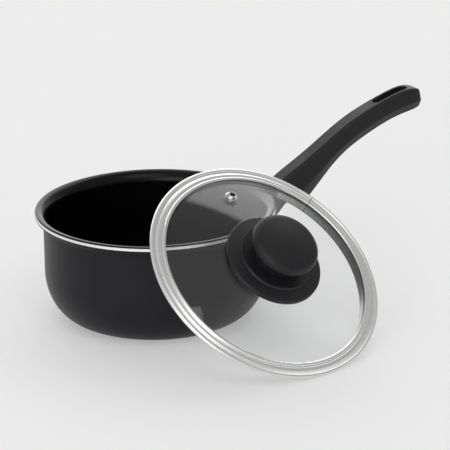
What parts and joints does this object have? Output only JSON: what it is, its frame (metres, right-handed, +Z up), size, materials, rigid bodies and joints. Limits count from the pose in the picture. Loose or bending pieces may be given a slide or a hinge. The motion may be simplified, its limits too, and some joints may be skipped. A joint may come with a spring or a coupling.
{
  "type": "saucepan with lid",
  "caption": "Round saucepan with a flared rim, a dark coating and an arched black handle, and a domed glass lid with a steel band, a steam vent and a mushroom knob.",
  "frame": {"origin": "centre of the pan's flat base, on the surface it stands on", "axes": "+Z up along the pan's axis, +X from the pan's axis along the handle; the lid leans on the rim on the -Y side"},
  "size_m": [0.3083, 0.2585, 0.1334],
  "materials": {
    "pan_coating": "satin dark coating over aluminium, bare at the rim's edge",
    "aluminium_rivet": "satin",
    "handle_black": "satin moulded phenolic",
    "bracket_steel": "black painted steel",
    "fastener_steel": "zinc plated",
    "lid_glass": "clear tempered",
    "band_steel": "polished",
    "vent_steel": "polished",
    "seal_rubber": "matte",
    "knob_black": "satin moulded phenolic",
    "insert_brass": "turned"
  },
  "bodies": {
    "pan": {"pan_shell": "pan_coating", "bracket_rivets": "aluminium_rivet", "handle": "handle_black", "handle_bracket": "bracket_steel", "handle_screw": "fastener_steel", "handle_lock_washer": "fastener_steel", "handle_nut": "fastener_steel"},
    "lid": {"lid_glass": "lid_glass", "rim_band": "band_steel", "rim_seal": "seal_rubber", "vent_eyelet": "vent_steel", "vent_washer": "fastener_steel", "knob_disc": "knob_black", "knob": "knob_black", "knob_insert": "insert_brass", "knob_screw": "fastener_steel", "knob_washer": "fastener_steel", "knob_seal": "seal_rubber", "knob_gasket": "seal_rubber"}
  },
  "joints": [
    {"name": "lid_lift", "type": "slide", "parent": "pan", "child": "lid", "axis": [0, 0, 1], "range_m": [0, 0.2]}
  ]
}
